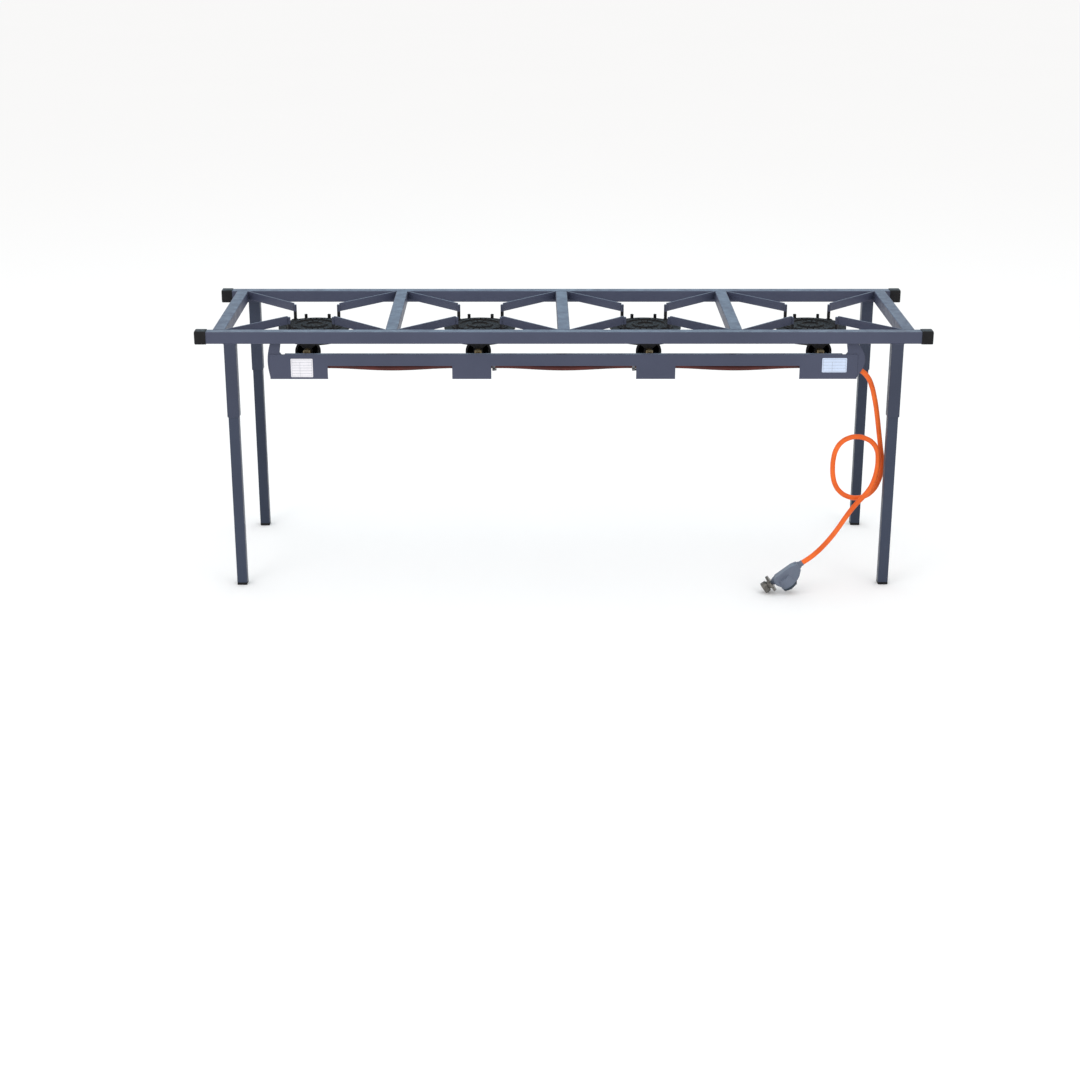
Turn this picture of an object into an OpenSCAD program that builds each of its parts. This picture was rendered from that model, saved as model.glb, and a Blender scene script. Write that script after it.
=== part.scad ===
/* [Frame] */
// Length of each long rail without its end caps
rail_len = 2126; // [2100:2:2160]
// Depth of the frame from the front face to the back face
frame_depth = 575; // [565:5:600]
// Height of the top of the frame above the floor
frame_height = 780; // [760:5:800]
// Side of the square frame tube
tube = 35; // [35:1:40]
// Wall of the square frame tube
tube_wall = 2; // [1.5:0.5:3]
// Distance between neighbouring cross tubes, which is one burner bay
bay_pitch = 500; // [490:5:505]
// Height of the flat bar that carries a pot
arm_height = 25; // [20:1:30]
// Thickness of the flat bar that carries a pot
arm_thick = 5; // [4:0.5:8]

/* [Legs] */
// Length of the leg socket below the rail
socket_len = 220; // [180:10:260]
// Distance of a leg's centre from the middle of the stand
leg_x = 965; // [955:5:965]
// Side of the plug-in leg tube
leg_side = 30; // [26:1:30]
// Wall of the plug-in leg tube
leg_wall = 1.5; // [1:0.5:2]
// Height of the foot plug's head
foot_head = 8; // [4:1:12]

/* [Burners] */
// Radius of the burner's rim
burner_r = 108; // [104:1:110]
// Depth of the burner's rim below the top of the frame
burner_drop = 50; // [45:1:60]
// Outer radius of the burner bowl
bowl_r = 86; // [80:1:90]
// Outer radius of the mixing tube
mixer_r = 23; // [20:1:24]
// Radius of the mixing tube's mouth and of its air shutter
mouth_r = 37.5; // [35:0.5:38]
// Diameter of the rods that hang a burner from its pot arms
stud_d = 10; // [8:1:10]

/* [Gas line] */
// Outer diameter of the gas hose
hose_d = 15; // [14:0.5:15]
// Height of the hose line between the taps
hose_line_z = 670; // [668:1:674]
// Sag of a hose between two taps
hose_sag = 7; // [4:1:10]
// Diameter of a tap's knob
knob_d = 34; // [28:1:34]

/* [Hose shield] */
// Length of the shield from end to end
shield_len = 1710; // [1700:2:1716]
// Height of the shield's plain strip
strip_height = 35; // [30:1:40]
// Height of the four deeper covers in front of the taps
cover_height = 74; // [70:1:76]
// Thickness of the shield's sheet steel
sheet = 2; // [1.5:0.5:3]
// Width of a middle cover
cover_mid = 114; // [100:2:120]
// Width of an end cover
cover_end = 168; // [160:2:174]

/* [Regulator] */
// Angle at which the regulator lies on its cap, tail up
reg_tilt = 36; // [34:1:36]
// Radius of the thread in the union nut
union_r = 10.6; // [10:0.1:11]

/* [Hidden] */
$fn = 64;
eps = 0.01;

// Frame
tube_mid = tube / 2;
rail_y = frame_depth / 2 - tube_mid;
rail_z = frame_height - tube_mid;
under_rail = frame_height - tube;
cross_len = frame_depth - 2 * tube;
corner_r = 3;
cap_wall = 2;
cap_end = 3;
cap_sleeve = 30;
burner_x = [-1.5 * bay_pitch, -0.5 * bay_pitch, 0.5 * bay_pitch, 1.5 * bay_pitch];

// Pot arms: from the corner of a bay to an inner end near the burner
arm_end_x = 70;
arm_end_y = 86;
bay_half_x = (bay_pitch - tube) / 2;
bay_half_y = cross_len / 2;
arm_angle = atan2(bay_half_y - arm_end_y, bay_half_x - arm_end_x);
arm_run = norm([bay_half_x - arm_end_x, bay_half_y - arm_end_y]);
stud_x = arm_end_x - stud_d / 2 * cos(arm_angle);
stud_y = arm_end_y - stud_d / 2 * sin(arm_angle);

// Burner: the rim's top face is the highest flat of the casting
rim_z = frame_height - burner_drop;
rim_thick = 6;
bowl_wall = 5;
bowl_floor = rim_z - 40;
mixer_z = rim_z - 30;
mixer_wall = 5;
mouth_y = -196;
mouth_plate = 6;
nose_r = 7;
nose_gap = 0.08;
shutter_thick = 2;
shutter_gap = 0.3;

// Gas line: the hoses run in front of the cocks, so every tap stays fed
hose_y = -246;
tap_y = -233;
tap_r = 10;
barb_start = 25;
barb_end = 60;
spindle_r = 5;
run_gap = 0.06;
knob_top = 657;
knob_height = 14;
spindle_top = knob_top + 30;

// Hose shield
shield_front = -262;
shield_back = shield_front + sheet;
shield_top = 708;
shield_lip = 14;
cover_bottom = shield_top - cover_height;
strip_bottom = shield_top - strip_height;
cover_mid_x = 268;
bracket_thick = 3;

// Regulator: its own axis runs from the union nut's mouth to the hose tail
reg_pos = [597, -352, 14];
reg_axis = [cos(reg_tilt), 0, sin(reg_tilt)];
reg_len = 140;
nut_len = 16;
thread_len = 10.5;
nut_free = 11;
flange_thick = 3;
nut_r = 17;
wheel_r = 26;
wheel_start = 23;
wheel_thick = 7;
stem_r = 6;
bonnet_z = 70;
bonnet_face = 34;

// Route of the supply hose from the last tap to the regulator's tail
HOSE_ROUTE = [
    [775, -246, 670], [800, -246, 670], [826, -246, 669], [850, -246, 664], [872, -245, 653],
    [891, -244, 634], [904, -243, 607], [913, -242, 576], [921, -241, 541], [928, -240, 501],
    [935, -239, 458], [942, -238, 416], [948, -237, 378], [948, -236, 341], [940, -235, 307],
    [925, -235, 281], [902, -235, 264], [876, -235, 259], [850, -236, 265], [828, -237, 280],
    [813, -238, 302], [805, -240, 328], [802, -242, 357], [803, -244, 387], [809, -246, 414],
    [823, -249, 437], [844, -251, 451], [868, -254, 456], [893, -256, 451], [914, -258, 438],
    [928, -260, 415], [932, -260, 390], [931, -260, 358], [925, -260, 326], [914, -260, 298],
    [897, -261, 274], [877, -265, 253], [857, -276, 233], [837, -293, 212], [817, -312, 191],
    [796, -331, 171], [774, -344, 150], [752, -350, 129],
    reg_pos + (reg_len + 25) * reg_axis,
    reg_pos + reg_len * reg_axis
];

// ---------- helpers ----------

// Square bar outline with rounded corners
module rounded_square(side, r) {
    square([side, side - 2 * r], center = true);
    square([side - 2 * r, side], center = true);
    for (sx = [-1, 1], sy = [-1, 1])
        translate([sx * (side / 2 - r), sy * (side / 2 - r)]) circle(r = r);
}

// Square tube standing on its end, from z = 0 up
module square_tube(len, side, wall, r = corner_r) {
    difference() {
        linear_extrude(len) rounded_square(side, r);
        translate([0, 0, -1]) linear_extrude(len + 2) rounded_square(side - 2 * wall, max(r - wall, 0.5));
    }
}

// Places a child once in each of the four quarters of a bay or of the frame
module quarters(x, y) {
    for (sx = [-1, 1], sy = [-1, 1]) translate([sx * x, sy * y, 0]) children();
}

// Hexagonal prism by its distance across flats, standing on z = 0
module hexagon(across, h) {
    cylinder(r = across / 2 / cos(30), h = h, $fn = 6);
}

// Ring outlines swept along a route; the route never runs along Y
function unit(v) = v / norm(v);
function tangent(p, i) = unit(p[min(i + 1, len(p) - 1)] - p[max(i - 1, 0)]);
function ring_side(p, i) = unit(cross(tangent(p, i), [0, 1, 0]));
function ring_up(p, i) = cross(tangent(p, i), ring_side(p, i));
function ring_point(p, i, a, r) = p[i] + r * (cos(a) * ring_side(p, i) + sin(a) * ring_up(p, i));

module swept_hose(route, d, sides = 12) {
    n = len(route);
    points = [for (i = [0 : n - 1], k = [0 : sides - 1]) ring_point(route, i, 360 / sides * k, d / 2)];
    start_face = [[for (k = [0 : sides - 1]) k]];
    end_face = [[for (k = [0 : sides - 1]) n * sides - 1 - k]];
    walls = [
        for (i = [0 : n - 2], k = [0 : sides - 1])
            let (a = i * sides + k, b = i * sides + (k + 1) % sides)
                each [[a, b + sides, b], [a, a + sides, b + sides]]
    ];
    polyhedron(points, concat(start_face, walls, end_face));
}

// ---------- frame ----------

module rail(side) {
    color("#5b6577")
        translate([-rail_len / 2, side * rail_y, rail_z])
            rotate([0, 90, 0]) square_tube(rail_len, tube, tube_wall);
}

module rail_caps() {
    color("#1b1c20")
        for (sx = [-1, 1], sy = [-1, 1])
            translate([sx * (rail_len / 2 + cap_end), sy * rail_y, rail_z])
                rotate([0, -90 * sx, 0])
                    difference() {
                        linear_extrude(cap_end + cap_sleeve) rounded_square(tube + 2 * cap_wall, corner_r + cap_wall);
                        translate([0, 0, cap_end]) linear_extrude(cap_sleeve + 1) rounded_square(tube, corner_r);
                    }
}

module cross_tube(i) {
    color("#5f7186")
        translate([(i - 3) * bay_pitch, -cross_len / 2, rail_z])
            rotate([-90, 0, 0]) square_tube(cross_len, tube, tube_wall);
}

// Four flat bars on edge, from the corners of a bay to the burner
module pot_arms(i) {
    color("#5b6577")
        translate([burner_x[i - 1], 0, frame_height - arm_height])
            for (sx = [-1, 1], sy = [-1, 1])
                mirrored(sx, sy)
                    intersection() {
                        translate([arm_end_x, arm_end_y, 0])
                            rotate([0, 0, arm_angle])
                                translate([0, -arm_thick / 2, 0]) cube([arm_run + tube, arm_thick, arm_height]);
                        cube([bay_half_x, bay_half_y, arm_height]);
                    }
}

module mirrored(sx, sy) {
    mirror([sx < 0 ? 1 : 0, 0, 0]) mirror([0, sy < 0 ? 1 : 0, 0]) children();
}

module leg_socket(sx, sy) {
    color("#596376")
        translate([sx * leg_x, sy * rail_y, under_rail - socket_len])
            square_tube(socket_len, tube, tube_wall);
}

module leg(sx, sy) {
    color("#465267")
        translate([sx * leg_x, sy * rail_y, foot_head])
            square_tube(under_rail - foot_head, leg_side, leg_wall, 2.5);
}

// Plastic plug with a head under the leg tube and a ribbed shank inside it
module foot(sx, sy) {
    inner = leg_side - 2 * leg_wall;
    color("#23272f")
        translate([sx * leg_x, sy * rail_y, 0]) {
            linear_extrude(foot_head) rounded_square(leg_side, 2.5);
            translate([0, 0, foot_head - eps]) linear_extrude(22) rounded_square(inner - 1.6, 1);
            for (h = [4, 12])
                translate([0, 0, foot_head + h]) linear_extrude(2) rounded_square(inner - 0.1, 1);
        }
}

// ---------- burners ----------

module hanger_studs() {
    stud_bottom = rim_z - rim_thick - 14;
    stud_top = frame_height - 4;
    color("#17181b")
        for (x = burner_x)
            translate([x, 0, stud_bottom])
                quarters(stud_x, stud_y) cylinder(d = stud_d, h = stud_top - stud_bottom, $fn = 32);
}

module stud_nuts() {
    nut_across = 16;
    nut_height = 8;
    color("#2a2b2e")
        for (x = burner_x)
            translate([x, 0, rim_z - rim_thick - nut_height])
                quarters(stud_x, stud_y)
                    difference() {
                        hexagon(nut_across, nut_height);
                        translate([0, 0, -1]) cylinder(d = stud_d, h = nut_height + 2, $fn = 32);
                    }
}

// Cast bowl with a rim, four ears, four pot lugs and the mixing tube in one piece
module burner_body(i) {
    ear_r = 12;
    lug_angle = 20;
    lug = [7, 8, 14];
    funnel_len = 42;
    mixer_len = 150;
    color("#141518")
        translate([burner_x[i - 1], 0, 0])
            difference() {
                union() {
                    translate([0, 0, bowl_floor]) cylinder(r = bowl_r, h = rim_z - bowl_floor);
                    translate([0, 0, rim_z - rim_thick]) {
                        cylinder(r = burner_r, h = rim_thick, $fn = 96);
                        quarters(stud_x, stud_y) cylinder(r = ear_r, h = rim_thick, $fn = 32);
                    }
                    for (a = [90 - lug_angle, 90 + lug_angle, 270 - lug_angle, 270 + lug_angle])
                        rotate([0, 0, a])
                            translate([burner_r - lug.x - 1, -lug.y / 2, rim_z - 1]) cube(lug);
                    translate([0, mouth_y + mouth_plate, mixer_z]) rotate([-90, 0, 0]) {
                        cylinder(r1 = mouth_r, r2 = mixer_r, h = funnel_len);
                        cylinder(r = mixer_r, h = mixer_len);
                    }
                    translate([0, mouth_y, mixer_z]) rotate([-90, 0, 0]) cylinder(r = mouth_r, h = mouth_plate);
                }
                translate([0, 0, bowl_floor + bowl_wall]) cylinder(r = bowl_r - bowl_wall, h = 60);
                translate([0, mouth_y + mouth_plate, mixer_z]) rotate([-90, 0, 0]) {
                    cylinder(r1 = mouth_r - mixer_wall, r2 = mixer_r - mixer_wall, h = funnel_len);
                    cylinder(r = mixer_r - mixer_wall, h = mixer_len - mixer_wall);
                }
                air_windows(mouth_y - 1, mouth_plate + 2);
                translate([0, mouth_y - 1, mixer_z]) rotate([-90, 0, 0]) cylinder(r = nose_r, h = mouth_plate + 2);
                translate([0, 0, rim_z - rim_thick - 1])
                    quarters(stud_x, stud_y) cylinder(d = stud_d + 0.5, h = rim_thick + 2, $fn = 32);
            }
}

// The two air openings, a quarter turn each, that the shutter covers
module air_windows(y, depth) {
    window_in = 14;
    window_out = mouth_r - 6;
    translate([0, y, mixer_z]) rotate([-90, 0, 0])
        for (a = [0, 180])
            rotate([0, 0, a])
                intersection() {
                    difference() {
                        cylinder(r = window_out, h = depth);
                        translate([0, 0, -1]) cylinder(r = window_in, h = depth + 2);
                    }
                    rotate([0, 0, -40]) translate([0, 0, -1])
                        linear_extrude(depth + 2)
                            polygon([[0, 0], [60, 0], [60 * cos(40), 60 * sin(40)], [60 * cos(80), 60 * sin(80)]]);
                }
}

// Ported cover that sits in the bowl's mouth
module burner_cap(i) {
    cap_r = bowl_r - 1;
    outer_ring = 68;
    inner_ring = 32;
    slot = [14, 2.5, 12];
    color("#101114")
        translate([burner_x[i - 1], 0, rim_z])
            difference() {
                union() {
                    cylinder(r = cap_r, h = 3);
                    translate([0, 0, -5]) cylinder(r = bowl_r - bowl_wall - 0.3, h = 6);
                    rotate_extrude() translate([outer_ring, 3]) polygon([[-11, -1], [11, -1], [8, 4], [-8, 4]]);
                    rotate_extrude() translate([inner_ring, 3]) polygon([[-10, -1], [10, -1], [7, 4], [-7, 4]]);
                }
                translate([0, 0, -6]) cylinder(r = bowl_r - bowl_wall - 5, h = 5);
                for (a = [0 : 15 : 345])
                    rotate([0, 0, a]) translate([outer_ring - 7, -slot.y / 2, -3]) cube(slot);
                for (a = [0 : 30 : 330])
                    rotate([0, 0, a + 15]) translate([inner_ring - 7, -slot.y / 2, -3]) cube(slot);
            }
}

// Disc that turns on the injector's nose and opens or closes the air windows
module air_shutter(i) {
    y0 = mouth_y - shutter_gap - shutter_thick;
    color("#1d1f23")
        translate([burner_x[i - 1], 0, 0])
            difference() {
                union() {
                    translate([0, y0, mixer_z]) rotate([-90, 0, 0]) cylinder(r = mouth_r, h = shutter_thick);
                    translate([mouth_r - 8, y0 - 8, mixer_z - 6]) cube([shutter_thick, 8 + eps, 12]);
                }
                air_windows(y0 - 1, shutter_thick + 2);
                translate([0, y0 - 1, mixer_z]) rotate([-90, 0, 0])
                    cylinder(r = nose_r + nose_gap, h = shutter_thick + 2);
            }
}

// Brass jets: a hexagon head, and a nose that carries the shutter into the mouth plate
module injectors() {
    head_len = 8;
    nose_len = mouth_plate + shutter_thick + 2 * shutter_gap + 8;
    y0 = mouth_y - 2 * shutter_gap - shutter_thick;
    color("#b9933c")
        for (x = burner_x)
            translate([x, y0 - head_len, mixer_z])
                rotate([-90, 0, 0])
                    difference() {
                        union() {
                            hexagon(22, head_len);
                            cylinder(r = nose_r, h = head_len + nose_len);
                        }
                        translate([0, 0, -1]) cylinder(r = 3, h = head_len + nose_len - 2);
                        cylinder(r = 0.6, h = head_len + nose_len + 1, $fn = 16);
                    }
}

// ---------- gas line ----------

// Brass tap: hose way in front, cock behind it, and an outlet to the injector
module gas_tap(i) {
    barrel_bottom = knob_top + 2;
    barrel_top = mixer_z + 12;
    outlet_end = mouth_y - 2 * shutter_gap - shutter_thick - 8;
    way_r = 3;
    sides = i == 1 ? [1] : [-1, 1];
    way_start = i == 1 ? -6 : -barb_end - 1;
    color("#b08d3f")
        translate([burner_x[i - 1], 0, 0])
            difference() {
                union() {
                    translate([0, tap_y, barrel_bottom]) cylinder(r = tap_r, h = barrel_top - barrel_bottom);
                    translate([0, tap_y, mixer_z]) rotate([-90, 0, 0]) cylinder(r = 9, h = outlet_end - tap_y);
                    translate([-14, hose_y - 8, hose_line_z - 9]) cube([28, tap_y - hose_y + 8, 18]);
                    for (s = sides) barb(s);
                }
                translate([0, tap_y, barrel_bottom - 1])
                    cylinder(r = spindle_r + run_gap, h = spindle_top - barrel_bottom + 3);
                translate([0, tap_y - 5, mixer_z])
                    rotate([-90, 0, 0]) cylinder(r = way_r, h = outlet_end - tap_y + 6);
                translate([0, tap_y, spindle_top]) cylinder(r = 2.4, h = mixer_z - spindle_top);
                translate([0, hose_y, hose_line_z]) rotate([-90, 0, 0]) cylinder(r = 2, h = tap_y - hose_y);
                translate([way_start, hose_y, hose_line_z])
                    rotate([0, 90, 0]) cylinder(r = way_r, h = barb_end + 1 - way_start);
            }
}

module barb(side) {
    translate([0, hose_y, hose_line_z])
        rotate([0, 90 * side, 0]) {
            cylinder(r = hose_d / 2 + 1, h = barb_start);
            cylinder(r = 4.5, h = barb_end);
            for (h = [34, 42, 50])
                translate([0, 0, h]) cylinder(r1 = 5.2, r2 = 4.4, h = 7);
        }
}

// Cock with a side port and an axial way up, and its stem down to the knob
module tap_spindle(i) {
    color("#c8a552")
        translate([burner_x[i - 1], tap_y, 0])
            difference() {
                translate([0, 0, knob_top - 10]) cylinder(r = spindle_r, h = spindle_top - knob_top + 10);
                translate([0, 0, hose_line_z]) rotate([90, 0, 0]) cylinder(r = 2, h = spindle_r + 1);
                translate([0, 0, hose_line_z - 4]) cylinder(r = 3, h = 40);
            }
}

// Fluted round knob under the tap
module tap_knob(i) {
    color("#202226")
        translate([burner_x[i - 1], tap_y, knob_top - knob_height])
            difference() {
                union() {
                    cylinder(d = knob_d, h = knob_height);
                    translate([-3, -knob_d / 2 - 2, 2]) cube([6, 6, knob_height - 4]);
                }
                translate([0, 0, 4]) cylinder(r = spindle_r, h = knob_height);
                for (a = [15 : 30 : 345])
                    rotate([0, 0, a]) translate([knob_d / 2 + 2.5, 0, 3]) cylinder(r = 4, h = knob_height, $fn = 24);
            }
}

// Hoses between neighbouring taps, hanging a little below the hose line
module link_hoses() {
    steps = 14;
    straight = 35;
    run = bay_pitch - 2 * barb_start;
    color("#d9602a")
        for (i = [0 : 2])
            translate([burner_x[i] + barb_start, hose_y, hose_line_z])
                swept_hose([
                    [0, 0, 0],
                    for (k = [0 : steps])
                        let (t = k / steps)
                            [straight + (run - 2 * straight) * t, 0, -hose_sag * pow(sin(180 * t), 2)],
                    [run, 0, 0]
                ], hose_d);
}

// Worm-drive clamps on the hose ends
module hose_clamps() {
    clamp_x = [
        burner_x[0] + 46, burner_x[1] - 46, burner_x[1] + 46, burner_x[2] - 46,
        burner_x[2] + 46, burner_x[3] - 46, burner_x[3] + 46
    ];
    band = 9;
    color("#3b3d42")
        for (x = clamp_x)
            translate([x - band / 2, hose_y, hose_line_z]) {
                rotate([0, 90, 0]) difference() {
                    cylinder(r = hose_d / 2 + 1.2, h = band);
                    translate([0, 0, -1]) cylinder(r = hose_d / 2, h = band + 2);
                }
                translate([-2, -5, -hose_d / 2 - 8]) cube([band + 4, 10, 7.2]);
            }
}

// ---------- hose shield ----------

// Folded sheet: a long strip with a top lip and four deeper covers
module hose_shield() {
    end_x = shield_len / 2;
    lip_inset = 44;
    covers = [
        [-end_x, cover_end], [-cover_mid_x - cover_mid / 2, cover_mid],
        [cover_mid_x - cover_mid / 2, cover_mid], [end_x - cover_end, cover_end]
    ];
    color("#5d6678") {
        translate([-end_x, shield_front, strip_bottom]) cube([shield_len, sheet, strip_height]);
        translate([lip_inset - end_x, shield_front, shield_top - sheet])
            cube([shield_len - 2 * lip_inset, shield_lip, sheet]);
        for (c = covers) {
            translate([c[0], shield_front, cover_bottom]) cube([c[1], sheet, cover_height]);
            translate([c[0], shield_front, cover_bottom]) cube([c[1], 8, sheet]);
        }
    }
}

// Curved hanger plates between the rail and the ends of the shield
module shield_brackets() {
    color("#596376")
        for (s = [-1, 1])
            mirror([s < 0 ? 1 : 0, 0, 0])
                translate([0, shield_back + bracket_thick, 0])
                    rotate([90, 0, 0])
                        linear_extrude(bracket_thick) bracket_outline(s > 0 ? 24 : 8);
}

module bracket_outline(bulge) {
    end_x = shield_len / 2;
    z_low = cover_bottom + 4;
    steps = 12;
    polygon(concat(
        [[end_x - 40, z_low], [end_x - 40, shield_top - 6], [end_x - 30, shield_top + 6], [end_x - 34, under_rail]],
        [[end_x - 4, under_rail]],
        [
            for (k = [1 : steps - 1])
                let (t = k / steps)
                    [end_x - 4 + 4 * t + bulge * sin(180 * t), under_rail + (z_low - under_rail) * t]
        ],
        [[end_x, z_low]]
    ));
}

// Blank data plates on the two end covers
module label_plates() {
    color("#e8eaee") {
        translate([-794, shield_front - 0.6, 640]) cube([64, 0.6, 55]);
        translate([752, shield_front - 0.6, 654]) cube([72, 0.6, 43]);
    }
}

// ---------- supply hose and regulator ----------

module supply_hose() {
    color("#e8672c") swept_hose(HOSE_ROUTE, hose_d);
}

module on_regulator_axis() {
    translate(reg_pos) rotate([0, 90 - reg_tilt, 0]) children();
}

// Die-cast body: inlet stem, long housing, diaphragm drum and hose tail in one piece
module regulator_body() {
    color("#7d8797")
        on_regulator_axis()
            difference() {
                union() {
                    translate([0, 0, nut_free]) cylinder(r = union_r - 0.1, h = flange_thick);
                    translate([0, 0, nut_free]) cylinder(r = stem_r, h = 34);
                    translate([0, 0, 33]) cylinder(r1 = 9, r2 = 13, h = 10);
                    rotate([90, 0, 0]) translate([0, 0, -14]) linear_extrude(28)
                        polygon([
                            [-6, 38], [-12, 50], [-14, 106], [-10, 124], [12, 124],
                            [26, 110], [bonnet_face, 96], [bonnet_face, 54], [20, 44], [10, 38]
                        ]);
                    translate([4, 0, bonnet_z]) rotate([0, 90, 0]) cylinder(r = 25, h = bonnet_face - 4);
                    translate([0, 0, 118]) cylinder(r1 = 13, r2 = 10, h = 12);
                    translate([0, 0, 120]) cylinder(r = hose_d / 2 + 1, h = reg_len - 120);
                }
                translate([0, 0, nut_free - 1]) cylinder(r = 3, h = 50);
                translate([0, 0, 90]) cylinder(r = 3, h = reg_len - 89);
            }
}

// Bonnet over the diaphragm spring, with a vent stub
module regulator_cap() {
    color("#4a525f")
        on_regulator_axis() {
            translate([bonnet_face, 0, bonnet_z]) rotate([0, 90, 0]) {
                cylinder(r = 24, h = 6);
                translate([0, 0, 6]) cylinder(r1 = 24, r2 = 18, h = 4);
                translate([0, 0, 8]) cylinder(r = 8, h = 4);
            }
        }
}

// Union nut with a scalloped handwheel behind it, one turned piece
module regulator_nut() {
    color("#8b8a84")
        on_regulator_axis()
            difference() {
                union() {
                    cylinder(r = nut_r, h = nut_len);
                    cylinder(r = 12, h = wheel_start + 1);
                    translate([0, 0, wheel_start]) cylinder(r = wheel_r, h = wheel_thick);
                }
                translate([0, 0, -1]) cylinder(r = union_r, h = thread_len + 1);
                translate([0, 0, thread_len - eps])
                    cylinder(r = union_r + 0.6, h = nut_free + flange_thick + 0.5 - thread_len);
                translate([0, 0, -1]) cylinder(r = stem_r + 0.08, h = wheel_start + wheel_thick + 2);
                for (a = [0 : 45 : 315])
                    rotate([0, 0, a + 22.5])
                        translate([wheel_r + 5, 0, wheel_start - 1]) cylinder(r = 8, h = wheel_thick + 2, $fn = 32);
                for (a = [0 : 20 : 340])
                    rotate([0, 0, a])
                        translate([nut_r + 0.6, 0, 2]) cylinder(r = 1.4, h = nut_len - 4, $fn = 16);
            }
}

rail(-1);  // front_rail
rail(1);  // back_rail
rail_caps();
cross_tube(1);  // cross_tube_1
cross_tube(2);  // cross_tube_2
cross_tube(3);  // cross_tube_3
cross_tube(4);  // cross_tube_4
cross_tube(5);  // cross_tube_5
pot_arms(1);  // pot_arms_1
pot_arms(2);  // pot_arms_2
pot_arms(3);  // pot_arms_3
pot_arms(4);  // pot_arms_4
leg_socket(-1, -1);  // leg_socket_front_left
leg_socket(1, -1);  // leg_socket_front_right
leg_socket(-1, 1);  // leg_socket_back_left
leg_socket(1, 1);  // leg_socket_back_right
leg(-1, -1);  // leg_front_left
leg(1, -1);  // leg_front_right
leg(-1, 1);  // leg_back_left
leg(1, 1);  // leg_back_right
foot(-1, -1);  // foot_front_left
foot(1, -1);  // foot_front_right
foot(-1, 1);  // foot_back_left
foot(1, 1);  // foot_back_right
hanger_studs();
stud_nuts();
burner_body(1);  // burner_body_1
burner_body(2);  // burner_body_2
burner_body(3);  // burner_body_3
burner_body(4);  // burner_body_4
burner_cap(1);  // burner_cap_1
burner_cap(2);  // burner_cap_2
burner_cap(3);  // burner_cap_3
burner_cap(4);  // burner_cap_4
air_shutter(1);  // air_shutter_1
air_shutter(2);  // air_shutter_2
air_shutter(3);  // air_shutter_3
air_shutter(4);  // air_shutter_4
injectors();
gas_tap(1);  // gas_tap_1
gas_tap(2);  // gas_tap_2
gas_tap(3);  // gas_tap_3
gas_tap(4);  // gas_tap_4
tap_spindle(1);  // tap_spindle_1
tap_spindle(2);  // tap_spindle_2
tap_spindle(3);  // tap_spindle_3
tap_spindle(4);  // tap_spindle_4
tap_knob(1);  // tap_knob_1
tap_knob(2);  // tap_knob_2
tap_knob(3);  // tap_knob_3
tap_knob(4);  // tap_knob_4
link_hoses();
hose_clamps();
hose_shield();
shield_brackets();
label_plates();
supply_hose();
regulator_body();
regulator_cap();
regulator_nut();
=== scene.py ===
"""Looks of a four-burner gas stand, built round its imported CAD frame. Metres, Z up."""
import math
import random

import bmesh
import bpy
from mathutils import Matrix, Vector


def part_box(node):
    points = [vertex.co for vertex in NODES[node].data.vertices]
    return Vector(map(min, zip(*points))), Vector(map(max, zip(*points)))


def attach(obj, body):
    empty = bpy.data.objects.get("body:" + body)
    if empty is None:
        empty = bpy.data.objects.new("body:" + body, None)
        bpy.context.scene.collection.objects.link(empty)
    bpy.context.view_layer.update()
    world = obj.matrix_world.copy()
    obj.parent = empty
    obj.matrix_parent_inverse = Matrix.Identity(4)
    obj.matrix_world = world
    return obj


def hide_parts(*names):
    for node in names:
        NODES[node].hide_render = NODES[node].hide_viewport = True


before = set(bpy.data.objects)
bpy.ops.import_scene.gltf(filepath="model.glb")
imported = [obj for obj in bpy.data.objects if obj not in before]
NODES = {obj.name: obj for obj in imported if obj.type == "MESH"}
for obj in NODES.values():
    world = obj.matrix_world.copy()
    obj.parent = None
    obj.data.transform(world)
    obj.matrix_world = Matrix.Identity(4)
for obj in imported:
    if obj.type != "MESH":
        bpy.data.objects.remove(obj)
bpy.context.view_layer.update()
MM = 0.001

# ---------- camera, at the photograph's viewing angle ----------

LENS_MM = 65.567
SENSOR_MM = 36.0
CAMERA_AT = Vector((-0.0965, -5.8187, 2.1346))
CAMERA_YAW = 0.0050
CAMERA_PITCH = 0.3454
CAMERA_ROLL = 0.0011


def make_camera():
    data = bpy.data.cameras.new("camera")
    data.lens = LENS_MM
    data.sensor_width = SENSOR_MM
    data.clip_start = 0.05
    data.clip_end = 200.0
    camera = bpy.data.objects.new("camera", data)
    bpy.context.scene.collection.objects.link(camera)
    ahead = Vector((
        math.sin(CAMERA_YAW) * math.cos(CAMERA_PITCH),
        math.cos(CAMERA_YAW) * math.cos(CAMERA_PITCH),
        -math.sin(CAMERA_PITCH),
    ))
    level = Vector((math.cos(CAMERA_YAW), -math.sin(CAMERA_YAW), 0.0))
    above = level.cross(ahead)
    right = level * math.cos(CAMERA_ROLL) + above * math.sin(CAMERA_ROLL)
    up = above * math.cos(CAMERA_ROLL) - level * math.sin(CAMERA_ROLL)
    turn = Matrix((right, up, -ahead)).transposed().to_4x4()
    camera.matrix_world = Matrix.Translation(CAMERA_AT) @ turn
    bpy.context.scene.camera = camera


make_camera()

# ---------- places taken from the frame ----------


def low(node):
    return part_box(node)[0]


def high(node):
    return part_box(node)[1]


def middle(node):
    return (low(node) + high(node)) / 2


BURNERS = (1, 2, 3, 4)
CORNERS = ("front_left", "front_right", "back_left", "back_right")
BURNER_X = [middle(f"burner_cap_{i}").x for i in BURNERS]
TOP = high("front_rail").z
TUBE = high("front_rail").z - low("front_rail").z
UNDER_RAIL = low("front_rail").z
HOSE_D = 15 * MM
HOSE_Y = -246 * MM
HOSE_Z = 670 * MM
TAP_Y = -233 * MM

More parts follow.
